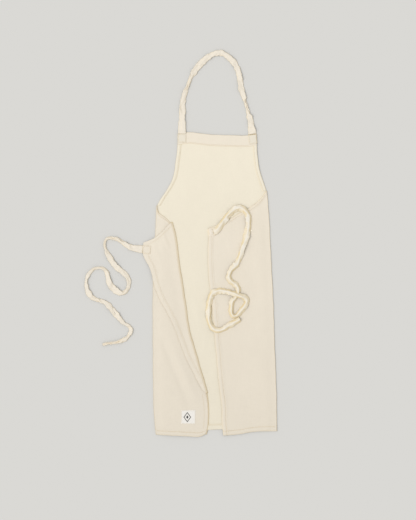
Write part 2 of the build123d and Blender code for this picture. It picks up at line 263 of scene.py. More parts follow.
class Panel:
    """Cloth between four lines that share their ends, with its top's height from a function."""

    def __init__(self, left, right, top, bottom, height, hems=(), folds=()):
        self.left, self.right, self.top, self.bottom = left, right, top, bottom
        self.height = height
        self.hems = dict(hems)
        self.folds = folds

    def flat(self, u, v):
        """The place at shares u across and v down, seen from above."""
        u, v = np.broadcast_arrays(np.asarray(u, float), np.asarray(v, float))
        across, down = u[..., None], v[..., None]
        sides = (1 - across) * along(self.left, v) + across * along(self.right, v)
        ends = (1 - down) * along(self.top, u) + down * along(self.bottom, u)
        corners = (1 - down) * ((1 - across) * self.top[0] + across * self.top[-1])
        corners = corners + down * ((1 - across) * self.bottom[0] + across * self.bottom[-1])
        return sides + ends - corners

    def edges(self, u, v):
        """Distances to the four sides."""
        wide = np.linalg.norm(along(self.right, v) - along(self.left, v), axis=-1)
        tall = np.linalg.norm(along(self.bottom, u) - along(self.top, u), axis=-1)
        return {"left": u * wide, "right": (1 - u) * wide, "top": v * tall, "bottom": (1 - v) * tall}

    def inset(self, side, distance, share):
        """The shares u and v of places at a distance from a side, at shares of its length."""
        distance, share = np.broadcast_arrays(np.asarray(distance, float), share)
        if side in ("left", "right"):
            wide = np.linalg.norm(along(self.right, share) - along(self.left, share), axis=-1)
            inward = distance / np.maximum(wide, 1)
            return (inward if side == "left" else 1 - inward), share
        tall = np.linalg.norm(along(self.bottom, share) - along(self.top, share), axis=-1)
        inward = distance / np.maximum(tall, 1)
        return share, (inward if side == "top" else 1 - inward)

    def surface(self, u, v):
        """The cloth's top at shares u and v, with what its hems add under it."""
        u, v = np.broadcast_arrays(np.asarray(u, float), np.asarray(v, float))
        place = self.flat(u, v)
        x, y = place[..., 0], place[..., 1]
        z = self.height(x, y)
        edges = self.edges(u, v)
        for side, width in self.hems.items():
            inside = 1 - step(edges[side], width - 2.5, width + 3.5)
            crumple = 0.3 + 0.3 * ripple(x, y, 13, 21)
            groove = 0.9 * np.exp(-(((edges[side] - width + STITCH_INSET) / 1.5) ** 2))
            z = z + inside * (HEM_BUILD * 0.6 + crumple) - groove
        if self.hems:
            free = np.minimum.reduce([edges[side] for side in self.hems])
            z = z - EDGE_DROP * (1 - step(free, 0, EDGE_DROP_WIDTH))
        return raised(place, z)


# ---------------------------------------------------------------- meshes


def new_object(name, data):
    """A new object in the scene."""
    made = bpy.data.objects.new(name, data)
    bpy.context.scene.collection.objects.link(made)
    return made


def mesh_object(name, points, faces, material):
    """A smooth-shaded mesh object from points in millimetres."""
    mesh = bpy.data.meshes.new(name)
    mesh.from_pydata((np.asarray(points, float).reshape(-1, 3) * MM).tolist(), [], faces)
    mesh.polygons.foreach_set("use_smooth", [True] * len(mesh.polygons))
    mesh.update()
    # How steeply each place slopes; the cloth's colour is painted darker and more golden by it, as
    # painted shade on slopes, fold sides and in creases
    rise = np.array([v.normal.z for v in mesh.vertices])
    slope = np.sqrt(np.clip(1 - rise**2, 0, 1)) / np.maximum(np.abs(rise), 0.05)
    painted_slope_shade = mesh.attributes.new("painted_slope_shade", "FLOAT", "POINT")
    painted_slope_shade.data.foreach_set("value", np.clip(slope * 0.9 - 0.12, 0, 1).astype(np.float32))
    mesh.materials.append(material)
    return new_object(name, mesh)


def grid_faces(rows, cols, first=0, turned=False):
    """Quads of a grid of points, facing up when rows run down and columns run right."""
    faces = []
    for r in range(rows - 1):
        for c in range(cols - 1):
            a = first + r * cols + c
            quad = (a, a + cols, a + cols + 1, a + 1)
            faces.append(quad[::-1] if turned else quad)
    return faces


def raised(place, height):
    """Places with their heights."""
    return np.concatenate([place, height[..., None]], axis=-1)


def shell(name, top, bottom, material):
    """A closed mesh between two grids of points of the same size."""
    rows, cols = top.shape[:2]
    half = rows * cols
    faces = grid_faces(rows, cols) + grid_faces(rows, cols, half, turned=True)
    rim = list(range(cols))
    rim += [r * cols + cols - 1 for r in range(1, rows)]
    rim += [(rows - 1) * cols + c for c in range(cols - 2, -1, -1)]
    rim += [r * cols for r in range(rows - 2, 0, -1)]
    for a, b in zip(rim, rim[1:] + rim[:1]):
        faces.append((a, b, b + half, a + half))
    return mesh_object(name, np.concatenate([top.reshape(-1, 3), bottom.reshape(-1, 3)]), faces, material)


def shares(length, coarse, marks=()):
    """Shares of a length, evenly spaced, and closer together at its ends and about its marks."""
    close = [0, 0.2, 0.6, 1.2, 2.2, 4]
    places = set(close) | {length - c for c in close}
    for mark in marks:
        places |= {mark + c for c in (-4.2, -3, -1.8, -0.9, 0, 0.9, 1.8)}
    places = sorted(p for p in places if 0 <= p <= length)
    filled = [places[0]]
    for place in places[1:]:
        pieces = max(1, int(np.ceil((place - filled[-1]) / coarse)))
        filled += list(np.linspace(filled[-1], place, pieces + 1)[1:])
    return np.array(filled) / length


def rounded(distance, radius):
    """A rounded edge's share of its full height, at a distance from the edge."""
    t = np.clip(distance / radius, 0, 1)
    return 0.25 + 0.75 * np.sqrt(1 - (1 - t) ** 2)


def cloth_panel(name, panel, u, v, material):
    """A panel of cloth, as thick as its hems make it, with rounded free edges."""
    across, down = np.meshgrid(u, v)
    top = panel.surface(across, down)
    edges = panel.edges(across, down)
    thick = np.full(across.shape, CLOTH)
    for side, width in panel.hems.items():
        thick = thick + HEM_BUILD * (1 - step(edges[side], width - 1.6, width + 1.6))
    thick = np.minimum(thick, CLOTH + HEM_BUILD)
    free = [edges[side] for side in edges if side not in panel.folds]
    share = rounded(np.minimum.reduce(free), HEM_ROUNDING if panel.hems else EDGE_ROUNDING)
    bottom = top.copy()
    bottom[..., 2] -= thick * (1 + share) / 2
    top[..., 2] -= thick * (1 - share) / 2
    return shell(name, top, bottom, material)


def band(name, panel, side, width, span, material, rise=HEM_BUILD, seed=3):
    """A turned hem or facing on a panel's top, along one side, over a span of its shares."""
    line = {"left": panel.left, "right": panel.right, "top": panel.top, "bottom": panel.bottom}[side]
    length = np.linalg.norm(np.diff(line, axis=0), axis=1).sum() * (span[1] - span[0])
    run = span[0] + (span[1] - span[0]) * shares(length, 3)
    inward = shares(width, 3, [width - STITCH_INSET]) * width
    inward, run = np.meshgrid(inward, run)
    u, v = panel.inset(side, inward, run)
    top = panel.surface(u, v)
    bottom = top.copy()
    x, y = top[..., 0], top[..., 1]
    edge = np.minimum(inward, width - inward)
    puff = rise * rounded(edge, EDGE_ROUNDING) + 0.25 * rounded(edge, 5) * (1 + ripple(x, y, 8, seed))
    groove = 0.35 * np.exp(-(((inward - width + STITCH_INSET) / 1.1) ** 2))
    top[..., 2] += puff - groove
    bottom[..., 2] -= 0.1
    if side in ("right", "top"):
        top, bottom = top[:, ::-1], bottom[:, ::-1]
    if side in ("top", "bottom"):
        top, bottom = top[::-1], bottom[::-1]
    return shell(name, top, bottom, material)


def rounded_fold(name, line, low, high, outward, material, reach=1.0):
    """Cloth bent half round along a fold line, from its lower layer's middle to its upper one's,
    standing out half as far as it is high, times its reach; past 1 it slopes down to the cloth."""
    run = along(line, np.linspace(0, 1, 260))
    ahead = np.gradient(run, axis=0)
    ahead /= np.linalg.norm(ahead, axis=1)[:, None]
    side = outward * np.stack([-ahead[:, 1], ahead[:, 0]], axis=1)
    radius = (high - low) / 2
    turn = np.linspace(-pi / 2, pi / 2, 17)
    grids = []
    for size in (radius + CLOTH / 2, radius - CLOTH / 2):
        if reach > 1:
            out = size * reach * np.cos(turn) * (1 - 0.6 * np.sin(turn)) / 1.2
        else:
            out = size * np.cos(turn) ** 0.6
        up = (low + high) / 2 + size * np.sin(turn)
        grid = np.zeros((len(run), len(turn), 3))
        grid[..., :2] = run[:, None] + side[:, None] * out[None, :, None]
        grid[..., 2] = up[None]
        grids.append(grid)
    outer, inner = grids if outward < 0 else (grids[0][:, ::-1], grids[1][:, ::-1])
    return shell(name, outer[:, ::-1], inner[:, ::-1], material)


def stitches(name, rows, material, pitch=3.6, length=2.6, radius=0.3):
    """Rows of short threads lying along lines of points, as one mesh."""
    points, faces = [], []
    for row in rows:
        row = np.asarray(row, float)
        total = np.linalg.norm(np.diff(row, axis=0), axis=1).sum()
        count = max(1, int(total / pitch))
        starts = (np.arange(count) + 0.5) / count
        for place in starts:
            reach = length / 2 / total
            tail, head = along(row, np.clip([place - reach, place + reach], 0, 1))
            thread_bead(points, faces, tail, head, radius)
    return mesh_object(name, points, faces, material)


def thread_bead(points, faces, tail, head, radius):
    """One stitch: a six-sided bead that dips into the cloth at both ends."""
    ahead = head - tail
    side = np.cross(ahead, (0, 0, 1))
    side /= max(np.linalg.norm(side), 1e-9)
    up = np.array([0, 0, 1.0])
    first = len(points)
    for share, swell, lift in ((0, 0.35, -0.2), (0.25, 1, 0.12), (0.75, 1, 0.12), (1, 0.35, -0.2)):
        middle = tail + ahead * share + up * lift
        for k in range(6):
            turn = k * pi / 3
            points.append(middle + radius * swell * (side * cos(turn) + up * sin(turn)))
    for ring in range(3):
        for k in range(6):
            a = first + ring * 6 + k
            b = first + ring * 6 + (k + 1) % 6
            faces.append((a, a + 6, b + 6, b))
    faces.append(tuple(first + k for k in range(6)))
    faces.append(tuple(first + 18 + k for k in range(5, -1, -1)))


# ---------------------------------------------------------------- materials


def add_node(tree, kind, **values):
    """A shader node with its sockets set by name, and linked where the value is a socket."""
    made = tree.nodes.new(kind)
    for name, value in values.items():
        if hasattr(made, name):
            setattr(made, name, value)
            continue
        socket = made.inputs[name.replace("_", " ").strip()]
        if isinstance(value, bpy.types.NodeSocket):
            tree.links.new(value, socket)
        else:
            socket.default_value = value
    return made


def math_node(tree, operation, *values, kind="ShaderNodeMath"):
    """The result of a maths node on two or three values."""
    made = tree.nodes.new(kind)
    made.operation = operation
    for socket, value in zip(made.inputs, values):
        if isinstance(value, bpy.types.NodeSocket):
            tree.links.new(value, socket)
        else:
            socket.default_value = value
    return made.outputs[0]


def woven(name, color, grain=0.0, pitch=1.1, fleck=0.05, painted_top_light=0.0, painted_shade=0.8):
    """Plain-woven cotton: two sets of threads, uneven slubs, soft patches and a bump. Its colour is
    painted darker and more golden where it slopes, as painted shade on fold sides, tape flanks and in
    creases, and can be painted paler toward the top, as painted light falling off down the apron."""
    material = bpy.data.materials.new(name)
    material.use_nodes = True
    tree = material.node_tree
    shader = tree.nodes["Principled BSDF"]
    looks = {"Roughness": 0.92, "Specular IOR Level": 0.15, "Sheen Weight": 0.15, "Sheen Roughness": 0.6}
    for socket, value in looks.items():
        shader.inputs[socket].default_value = value
    place = tree.nodes.new("ShaderNodeTexCoord").outputs["Object"]
    turned = add_node(tree, "ShaderNodeMapping", Vector=place)
    turned.inputs["Rotation"].default_value = (0, 0, radians(grain))
    turned = turned.outputs[0]
    threads = []
    slubs = []
    for direction, stretch in (("X", (40, 700, 40)), ("Y", (700, 40, 40))):
        wave = add_node(
            tree, "ShaderNodeTexWave", Vector=turned, bands_direction=direction,
            Scale=1 / (pitch * MM) / 20 * pi, Distortion=1.5, Detail=1.0, Detail_Scale=2.0,
        )
        threads.append(wave.outputs["Fac"])
        long_way = add_node(tree, "ShaderNodeMapping", Vector=turned)
        long_way.inputs["Scale"].default_value = stretch
        slub = add_node(
            tree, "ShaderNodeTexNoise", Vector=long_way.outputs[0], Scale=1.0, Detail=3.0, Roughness=0.6
        )
        slubs.append(slub.outputs["Fac"])
    weave = math_node(tree, "MAXIMUM", threads[0], threads[1])
    slub = math_node(tree, "ADD", slubs[0], slubs[1])
    patches = add_node(tree, "ShaderNodeTexNoise", Vector=turned, Scale=9.0, Detail=4.0).outputs["Fac"]
    tone = math_node(tree, "MULTIPLY_ADD", slub, fleck, -fleck)
    soft = math_node(tree, "MULTIPLY_ADD", patches, 0.05, 0.975)
    thread_tone = math_node(tree, "MULTIPLY_ADD", weave, 0.03, -0.015)
    tone = math_node(tree, "ADD", tone, soft)
    tone = math_node(tree, "ADD", tone, thread_tone)
    # Painted light: the colour grows paler toward the top of the apron, standing in for light that falls
    # off from the bib to the hem
    if painted_top_light:
        height = add_node(tree, "ShaderNodeSeparateXYZ", Vector=place).outputs["Y"]
        tone = math_node(tree, "ADD", tone, math_node(tree, "MULTIPLY", height, painted_top_light))
    tinted = add_node(tree, "ShaderNodeVectorMath", operation="SCALE", Scale=tone)
    tinted.inputs[0].default_value = color
    # Painted shade: the colour is darkened and turned golden where the cloth slopes, standing in for the
    # shade and warm bounce light on fold sides, tape flanks and in creases
    painted_slope_shade = add_node(tree, "ShaderNodeAttribute", attribute_name="painted_slope_shade").outputs["Fac"]
    fullest_painted_shade = (-0.05 * painted_shade, -0.14 * painted_shade, -0.34 * painted_shade)
    painted_shade_tint = math_node(tree, "MULTIPLY_ADD", painted_slope_shade, fullest_painted_shade, (1, 1, 1), kind="ShaderNodeVectorMath")
    colored = math_node(tree, "MULTIPLY", tinted.outputs[0], painted_shade_tint, kind="ShaderNodeVectorMath")
    tree.links.new(colored, shader.inputs["Base Color"])
    crumple = add_node(tree, "ShaderNodeTexNoise", Vector=turned, Scale=55.0, Detail=5.0, Roughness=0.55)
    soft_bump = add_node(
        tree, "ShaderNodeBump", Strength=0.35, Distance=0.0016, Height=crumple.outputs["Fac"]
    )
    weave_height = math_node(tree, "ADD", weave, math_node(tree, "MULTIPLY", slub, 0.8))
    bump = add_node(
        tree, "ShaderNodeBump", Strength=0.5, Distance=0.0003, Height=weave_height,
        Normal=soft_bump.outputs[0],
    )
    tree.links.new(bump.outputs[0], shader.inputs["Normal"])
    return material


def plain(name, color, roughness):
    """A material of one even colour."""
    material = bpy.data.materials.new(name)
    material.use_nodes = True
    shader = material.node_tree.nodes["Principled BSDF"]
    shader.inputs["Base Color"].default_value = (*color, 1)
    shader.inputs["Roughness"].default_value = roughness
    shader.inputs["Specular IOR Level"].default_value = 0.0
    return material


INNER_COLOR = (0.727, 0.672, 0.553)
OUTER_COLOR = (0.705, 0.643, 0.542)
# Every woven cloth here is painted paler toward the top, for light falling off down the apron, and
# painted darker and golden on its slopes, for shade in creases and on fold sides
inner_cloth = woven("InnerCloth", INNER_COLOR, painted_top_light=0.11)
corner_cloth = woven("CornerCloth", OUTER_COLOR, grain=21.6, painted_top_light=0.11)
right_cloth = woven("RightCloth", OUTER_COLOR, grain=4.9, painted_top_light=0.11)
left_cloth = woven("LeftCloth", OUTER_COLOR, painted_top_light=0.11)
# The folds' cloth is painted with a strong golden shade along its rounded sides, standing in for the
# shadow along the fold lines
fold_painted_shade_cloth = woven("FoldPaintedShadeCloth", OUTER_COLOR, painted_top_light=0.11, painted_shade=2.0)
tape_cloth = woven("TapeCloth", (0.745, 0.685, 0.59), pitch=0.8, fleck=0.08, painted_shade=0.6)
# The right tie's own colour is paler than the cloth; its flanks are painted with a stronger golden shade
tie_cloth = woven("TieCloth", (0.755, 0.71, 0.625), pitch=0.8, fleck=0.08, painted_shade=1.15)
end_cloth = woven("TapeEndCloth", (0.715, 0.662, 0.56), pitch=0.8, fleck=0.08)
# The stitching thread is real, but its golden-tan colour is made darker than the cloth to also paint the
# shade along the hem lines
thread_and_painted_shade = woven("Thread", (0.62, 0.50, 0.32), pitch=0.4, fleck=0.1)
label_cloth = woven("LabelCloth", (0.755, 0.73, 0.685), pitch=0.5, fleck=0.03)
mark_thread = woven("MarkThread", (0.03, 0.03, 0.035), pitch=0.5, fleck=0.3)


# ---------------------------------------------------------------- the cloth

left_fold = smooth(LEFT_FOLD_LINE)
right_fold = smooth(RIGHT_FOLD_LINE)
corner_fold = smooth(CORNER_FOLD_LINE)
left_edge = smooth(LEFT_EDGE_LINE)


def front_height(x, y):
    """The front's top. It lies flat at the two side folds and ripples a little between them."""
    from_folds = np.minimum(np.abs(right_of(left_fold, x, y)), np.abs(right_of(right_fold, x, y)))
    from_corner = right_of(corner_fold, x, y)
    calm = step(from_folds, 0, 26) * (1 - 0.7 * np.exp(-((from_corner / 30) ** 2)))
    waves = 0.8 * (1 + ripple(x, y, 85, 1)) + 0.45 * (1 + ripple(x, y, 34, 2))
    waves = waves + 0.9 * streak(x, y, (-45, -45), (-25, -150), 9)
    waves = waves + 0.8 * streak(x, y, (-8, -120), (-28, -260), 8)
    waves = waves + 0.7 * streak(x, y, (60, 400), (110, 300), 14)
    waves = waves + 0.7 * streak(x, y, (-90, 330), (-60, 260), 12)
    return FRONT_MID + CLOTH / 2 + calm * waves


def right_height(x, y):
    """The right panel's top: puffed at its fold, and resting on the front."""
    inward = -right_of(right_fold, x, y)
    lying = front_height(x, y) + CLOTH + HEM_BUILD + 0.3
    waves = 0.5 * (1 + ripple(x, y, 60, 5)) + 0.25 * (1 + ripple(x, y, 24, 6))
    fold_top = SIDE_FOLD_TOP + CLOTH / 2
    near_fold = np.exp(-((inward / 20) ** 2))
    return (lying + waves) * (1 - near_fold) + fold_top * near_fold


def left_height(x, y):
    """The left panel's top: puffed at its fold, and lifted along the corner's fold."""
    inward = right_of(left_fold, x, y)
    lying = front_height(x, y) + CLOTH + HEM_BUILD + 0.3
    waves = 0.6 * (1 + ripple(x, y, 70, 8)) + 0.25 * (1 + ripple(x, y, 26, 9))
    waves = waves - 1.9 * streak(x, y, (-150, -150), (-62, -365), 10)
    waves = waves + 1.3 * streak(x, y, (-120, -160), (-40, -350), 9)
    waves = waves + 1.3 * streak(x, y, (-160, 158), (-124, 189), 2.6)
    waves = waves + 1.0 * streak(x, y, (-160, 172), (-130, 198), 2.6)
    near_fold = np.exp(-((inward / 18) ** 2)) * step(inward, -30, 0)
    beside_corner = np.abs(right_of(corner_fold, x, y)) + 0.4 * np.maximum(0, CORNER_TIP[1] - y)
    near_corner = np.exp(-((beside_corner / 24) ** 2)) * (1 - near_fold)
    height = (lying + waves) * (1 - near_fold - near_corner)
    height = height + (SIDE_FOLD_TOP + CLOTH / 2) * near_fold
    return height + (CORNER_FOLD_BOTTOM + CLOTH / 2) * near_corner


def corner_height(x, y):
    """The turned corner's top: on the left panel, and past its fold down toward the table."""
    outside = -right_of(left_fold, x, y)
    falling = step(outside, -6, 34)
    inward = -right_of(corner_fold, x, y)
    waves = 0.5 * (1 + ripple(x, y, 50, 11)) + 0.4 * (1 + ripple(x, y, 20, 12))
    waves = waves + 1.6 * streak(x, y, (-140, 150), (-120, 105), 5)
    waves = waves + 1.3 * streak(x, y, (-125, 158), (-108, 110), 5)
    waves = waves + 1.0 * streak(x, y, (-165, 120), (-150, 70), 6)
    on_panel_top = left_height(np.maximum(x, along_fold_x(y)), y) + CLOTH + 0.4 + waves
    resting = on_panel_top * (1 - falling) + (2.4 + 0.7 * waves) * falling
    near_fold = np.exp(-((inward / 22) ** 2))
    return resting * (1 - near_fold) + (CORNER_FOLD_TOP + CLOTH / 2) * near_fold


def along_fold_x(y):
    """Where the left fold lies at a height of the apron."""
    return np.interp(-y, -left_fold[:, 1], left_fold[:, 0])


front = Panel(
    left=join(smooth(LEFT_ARMHOLE_LINE), left_fold),
    right=join(smooth(RIGHT_ARMHOLE_LINE), right_fold),
    top=smooth(BIB_TOP_LINE),
    bottom=smooth(FRONT_HEM_LINE),
    height=front_height,
)
right_side = Panel(
    left=smooth(RIGHT_EDGE_LINE),
    right=right_fold,
    top=smooth(RIGHT_PANEL_TOP_LINE),
    bottom=smooth(RIGHT_HEM_LINE),
    height=right_height,
    hems={"left": EDGE_HEM, "top": ARMHOLE_HEM, "bottom": BOTTOM_HEM},
    folds=("right",),
)
left_side = Panel(
    left=left_fold,
    right=join(corner_fold, left_edge),
    top=smooth(LEFT_PANEL_TOP_LINE),
    bottom=smooth(LEFT_HEM_LINE),
    height=left_height,
    hems={"top": ARMHOLE_HEM, "bottom": BOTTOM_HEM},
    folds=("left",),
)
tip_line = smooth([CORNER_TIP, (CORNER_TIP[0] + 0.6, CORNER_TIP[1] - 0.2)])
corner = Panel(
    left=smooth(CORNER_EDGE_LINE),
    right=join(corner_fold[:-1], tip_line[-1:]),
    top=smooth(CORNER_TOP_LINE),
    bottom=tip_line,
    height=corner_height,
    folds=("right",),
)

# Rough widths and lengths here set how closely each panel's points lie
front_cloth = cloth_panel("front_cloth", front, shares(330, 4.5), shares(FRONT_LENGTH, 3.4), inner_cloth)
right_panel_cloth = cloth_panel(
    "right_panel_cloth",
    right_side,
    shares(180, 4, [EDGE_HEM]),
    shares(650, 3.2, [ARMHOLE_HEM, 650 - BOTTOM_HEM + STITCH_INSET]),
    right_cloth,
)
left_panel_cloth = cloth_panel(
    "left_panel_cloth",
    left_side,
    shares(120, 3.5),
    shares(690, 3.2, [ARMHOLE_HEM, 690 - BOTTOM_HEM + STITCH_INSET]),
    left_cloth,
)
corner_panel_cloth = cloth_panel(
    "corner_panel_cloth", corner, shares(80, 2.8), shares(540, 3), corner_cloth
)

left_fold_cloth = rounded_fold("left_fold_cloth", left_fold, FRONT_MID, SIDE_FOLD_TOP, -1, left_cloth)
right_fold_cloth = rounded_fold("right_fold_cloth", right_fold, FRONT_MID, SIDE_FOLD_TOP, 1, right_cloth)
corner_fold_cloth = rounded_fold(
    "corner_fold_cloth", corner_fold, CORNER_FOLD_BOTTOM, CORNER_FOLD_TOP, 1, fold_painted_shade_cloth, reach=3.4
)
# The roll along the left panel's edge uses the folds' cloth, so it shows as a painted golden shade line
left_edge_roll = rounded_fold(
    "left_edge_roll", left_edge, FRONT_MID + 1, CORNER_FOLD_TOP - 1.2, 1, fold_painted_shade_cloth, reach=2.6
)

# Hems and the bib's facing, turned to the inner face
left_waist_share = np.argmin(np.linalg.norm(front.left - LEFT_WAIST, axis=1)) / len(front.left)
right_waist_share = np.argmin(np.linalg.norm(front.right - RIGHT_WAIST, axis=1)) / len(front.right)
band_share = BIB_BAND / FRONT_LENGTH
bib_band = band("bib_band_cloth", front, "top", BIB_BAND, (0, 1), left_cloth)
left_bib_hem = band(
    "left_bib_hem_cloth", front, "left", ARMHOLE_HEM, (band_share, left_waist_share), inner_cloth, seed=4
)
right_bib_hem = band(
    "right_bib_hem_cloth", front, "right", ARMHOLE_HEM, (band_share, right_waist_share), inner_cloth,
    seed=5,
)
front_hem = band("front_hem_cloth", front, "bottom", BOTTOM_HEM, (0, 1), inner_cloth, seed=6)
corner_top_hem = band(
    "corner_top_hem_cloth", corner, "top", ARMHOLE_HEM, (0, 1), corner_cloth, rise=0.4, seed=7
)
corner_edge_hem = band(
    "corner_edge_hem_cloth", corner, "left", EDGE_HEM, (0.02, 0.93), corner_cloth, rise=0.4, seed=8
)


# ---------------------------------------------------------------- stage, light and camera

VIEW_CENTER = (-6, 75)
VIEW_HEIGHT = 1560
CAMERA_HEIGHT = 6500

floor = mesh_object(
    "floor",
    [(-9000, -9000, 0), (9000, -9000, 0), (9000, 9000, 0), (-9000, 9000, 0)],
    [(0, 1, 2, 3)],
    plain("Floor", (0.60, 0.595, 0.575), 0.95),
)

world = bpy.data.worlds.new("Studio")
bpy.context.scene.world = world
world.use_nodes = True
background = world.node_tree.nodes["Background"]
background.inputs["Color"].default_value = (1.0, 0.995, 0.985, 1)
background.inputs["Strength"].default_value = 0.85

sun_data = bpy.data.lights.new("KeyLight", "SUN")
sun_data.energy = 1.25
sun_data.angle = radians(40)
sun = new_object("KeyLight", sun_data)
sun.rotation_euler = Vector((-0.75, -0.05, 1.0)).to_track_quat("Z", "Y").to_euler()

camera_data = bpy.data.cameras.new("Camera")
camera_data.sensor_fit = "VERTICAL"
camera_data.angle = 2 * atan(VIEW_HEIGHT / 2 / CAMERA_HEIGHT)
camera_data.clip_end = 100
camera = new_object("Camera", camera_data)
camera.location = Vector((*VIEW_CENTER, CAMERA_HEIGHT)) * MM
bpy.context.scene.camera = camera
bpy.context.scene.view_settings.view_transform = "Standard"


# ---------------------------------------------------------------- free tapes


def laid_surfaces(objects):
    """One searchable surface of what the tapes lie on."""
    points, faces = [], []
    for made in objects:
        first = len(points)
        points += [v.co[:] for v in made.data.vertices]
        faces += [tuple(first + i for i in p.vertices) for p in made.data.polygons]
    return BVHTree.FromPolygons(points, faces)


def resting_height(surfaces, x, y):
    """The top of whatever lies at a place, or the table."""
    hit = surfaces.ray_cast(Vector((x * MM, y * MM, 0.1)), Vector((0, 0, -1)))[0]
    return 0.0 if hit is None else hit.z / MM


def heights_below(surfaces, place):
    """The resting heights at a grid of places."""
    return np.vectorize(lambda x, y: resting_height(surfaces, x, y))(place[..., 0], place[..., 1])


def route_line(route, spacing):
    """Evenly spaced places on the smooth spline whose control points are the route."""
    data = bpy.data.curves.new("Route", "CURVE")
    data.dimensions = "3D"
    data.resolution_u = 16
    spline = data.splines.new("NURBS")
    spline.points.add(len(route) - 1)
    for point, place in zip(spline.points, route):
        point.co = (*(c * MM for c in place), 1)
    spline.order_u = 3
    spline.use_endpoint_u = True
    holder = bpy.data.objects.new("Route", data)
    mesh = bpy.data.meshes.new_from_object(holder)
    line = np.array([v.co[:] for v in mesh.vertices]) / MM
    bpy.data.objects.remove(holder)
    bpy.data.curves.remove(data)
    bpy.data.meshes.remove(mesh)
    length = np.linalg.norm(np.diff(line, axis=0), axis=1).sum()
    return evenly(line, int(length / spacing) + 1)


def tape_profile(width, twist, loft, pressed, offset, wave):
    """A tape's section as a closed loop: arched up along its middle, or with its edges pressed
    over flat, to a width, then twisted and brought down to a loft."""
    across = np.linspace(-1, 1, TAPE_PLACES)
    reach = np.clip(width / 2 - 0.9, 3, 12.5)
    flat = across * TAPE_WIDTH / 2 - offset
    folded = radians(82) * (np.tanh((flat - reach) / 0.9) + np.tanh((flat + reach) / 0.9))
    arched = np.arccos(np.clip(width / TAPE_WIDTH, 0.2, 0.999)) * np.tanh(flat / 2.6)
    lean = (1 - pressed) * arched + pressed * folded + wave
    pace = TAPE_WIDTH / (TAPE_PLACES - 1)
    middle = np.cumsum(np.stack([np.cos(lean), -np.sin(lean)], axis=1) * pace, axis=0)
    middle -= (middle.max(axis=0) + middle.min(axis=0)) / 2
    turn = radians(twist)
    spin = np.array([[cos(turn), -sin(turn)], [sin(turn), cos(turn)]])
    middle = middle @ spin.T
    size = np.ptp(middle, axis=0)
    middle[:, 0] *= np.clip((width - TAPE_THICKNESS) / max(size[0], 1e-6), 0.6, 1.8)
    middle[:, 1] *= min(1, loft / max(size[1], 1e-6))
    middle -= (middle.max(axis=0) + middle.min(axis=0)) / 2
    slope = np.gradient(middle, axis=0)
    slope /= np.linalg.norm(slope, axis=1)[:, None]
    normal = np.stack([-slope[:, 1], slope[:, 0]], axis=1) * TAPE_THICKNESS / 2
    soft = np.sqrt(np.clip(1 - across**10, 0.15, 1))[:, None]
    return np.concatenate([middle + normal * soft, (middle - normal * soft)[::-1]])


def blurred(values, reach):
    """Values smoothed over a number of neighbours."""
    kernel = np.hanning(2 * reach + 3)[1:-1]
    return np.convolve(np.pad(values, reach, "edge"), kernel / kernel.sum(), "valid")


def free_tape(name, route, loft, pressed, surfaces, material, seed):
    """A cotton tape along a route, curled and twisted as the route says, resting on what is below.

    Returns the tape and its middle line in metres."""
    keys = np.array(route, float)
    key_run = np.concatenate([[0], np.cumsum(np.linalg.norm(np.diff(keys[:, :2], axis=0), axis=1))])
    line = route_line([key[:3] for key in route], RING_SPACING)
    count = len(line)
    share = np.linspace(0, 1, count)
    width = blurred(np.interp(share, key_run / key_run[-1], keys[:, 3]), 4)
    twist = blurred(np.interp(share, key_run / key_run[-1], keys[:, 4]), 6)
    run = np.arange(count) * RING_SPACING
    ahead = np.gradient(line[:, :2], axis=0)
    ahead /= np.linalg.norm(ahead, axis=1)[:, None]
    side = np.stack([ahead[:, 1], -ahead[:, 0]], axis=1)
    rings, lifts = [], []
    for i in range(count):
        calm = min(1, run[i] / 40, (run[-1] - run[i] + 20) / 40)
        pinch = noise.noise(Vector((run[i] / 8, seed, 0)))
        drift = noise.noise(Vector((run[i] / 14, seed, 3)))
        turn = twist[i] + calm * 28 * noise.noise(Vector((run[i] / 22, seed, 5)))
        wave = np.array(
            [noise.noise(Vector((k / 5, run[i] / 16, seed))) for k in range(TAPE_PLACES)]
        ) * (0.3 + 0.8 * pressed) * calm
        offset = 3.4 * calm * noise.noise(Vector((run[i] / 30, seed, 7)))
        wide = width[i] * (1 + 0.28 * calm * pinch)
        loop = tape_profile(wide, turn, loft * (1 + 0.3 * drift), pressed, offset, wave)
        ring = np.zeros((len(loop), 3))
        ring[:, :2] = line[i, :2] + side[i] * (loop[:, :1] + calm * drift)
        ring[:, 2] = loop[:, 1]
        rings.append(ring)
        under = [resting_height(surfaces, p[0], p[1]) - p[2] for p in ring[::3]]
        lifts.append(max(under) + 0.1)
    lifts = np.array(lifts)
    for _ in range(3):
        lifts = np.maximum(blurred(lifts, 5), lifts)
    points, middles = [], []
    for ring, lift, over in zip(rings, blurred(lifts, 3), line[:, 2]):
        ring[:, 2] = np.maximum(ring[:, 2] + lift + over, FLOOR_GAP)
        points.append(ring)
        middles.append(ring.mean(axis=0) * MM)
    size = len(rings[0])
    faces = []
    for i in range(count - 1):
        for k in range(size):
            a = i * size + k
            b = i * size + (k + 1) % size
            faces.append((a, b, b + size, a + size))
    faces.append(tuple(range(size - 1, -1, -1)))
    faces.append(tuple((count - 1) * size + k for k in range(size)))
    return mesh_object(name, np.concatenate(points), faces, material), middles


